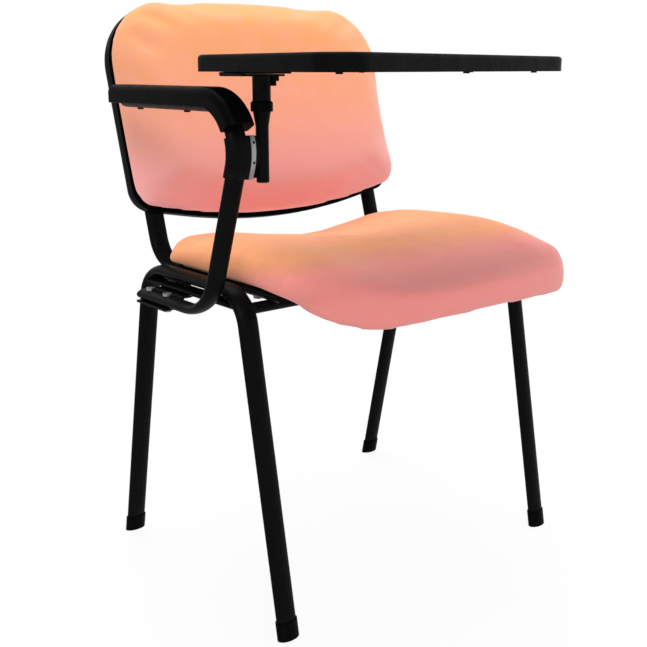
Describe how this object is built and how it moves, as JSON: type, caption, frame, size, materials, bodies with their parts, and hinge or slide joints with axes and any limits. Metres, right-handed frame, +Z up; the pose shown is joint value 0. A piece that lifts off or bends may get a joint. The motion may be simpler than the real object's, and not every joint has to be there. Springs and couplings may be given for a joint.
{
  "type": "stacking conference chair with writing tablet",
  "caption": "Upholstered stacking chair on oval-tube inverted-U side frames, with one armrest and a writing tablet that flips up and swivels aside.",
  "frame": {"origin": "on the floor, midway between the four feet and on the chair's plane of symmetry", "axes": "+Z up; -Y the way the sitter faces; +X to the sitter's left, so the arm and tablet are on the -X side"},
  "size_m": [0.5874, 0.6312, 0.8221],
  "materials": {
    "black_paint": "satin black powder coat",
    "black_plastic": "smooth moulded, matt",
    "grained_plastic": "fine moulded grain",
    "tablet_plastic": "fine moulded grain, satin",
    "upholstery": "peach and coral woven cloth over foam",
    "plywood": "raw birch plywood",
    "plated_steel": "zinc plated",
    "bush_nylon": "machined nylon"
  },
  "bodies": {
    "frame": {"side_frame_right": "black_paint", "side_frame_left": "black_paint", "foot_caps": "black_plastic", "crossbar_front": "black_paint", "crossbar_rear": "black_paint", "back_upright_right": "black_paint", "back_upright_left": "black_paint", "upright_plugs": "black_plastic", "seat_board": "plywood", "seat_tee_nuts": "plated_steel", "seat_bolts": "plated_steel", "seat_cushion": "upholstery", "back_board": "plywood", "back_shell": "grained_plastic", "back_cushion": "upholstery", "back_bolts": "plated_steel", "shell_screws": "plated_steel", "arm_tube": "black_paint", "arm_tube_plugs": "black_plastic", "arm_pad": "grained_plastic", "arm_pad_screws": "black_paint", "arm_bar": "black_paint", "arm_plate": "black_paint", "arm_bolts": "plated_steel", "arm_nuts": "plated_steel", "bar_bolts": "plated_steel", "clamp_strap": "black_paint", "clamp_housing": "black_paint", "clamp_nut_bar": "plated_steel", "clamp_bolts": "black_paint", "swivel_bush": "bush_nylon"},
    "swivel": {"swivel_column": "black_paint", "column_washer": "plated_steel", "column_screw": "plated_steel", "column_head": "black_paint", "hinge_pin": "black_paint"},
    "tablet": {"tablet_shell": "tablet_plastic", "tablet_base": "tablet_plastic", "tablet_leaf": "black_paint", "tablet_screws": "black_paint", "leaf_screws": "plated_steel"}
  },
  "joints": [
    {"name": "tablet_swivel", "type": "hinge", "parent": "frame", "child": "swivel", "pos_m": [-0.254, -0.15998, 0.688], "axis": [0, 0, -1], "range_deg": [0, 90]},
    {"name": "tablet_flip", "type": "hinge", "parent": "swivel", "child": "tablet", "pos_m": [-0.296, -0.15998, 0.7175], "axis": [0, -1, 0], "range_deg": [0, 100]}
  ]
}
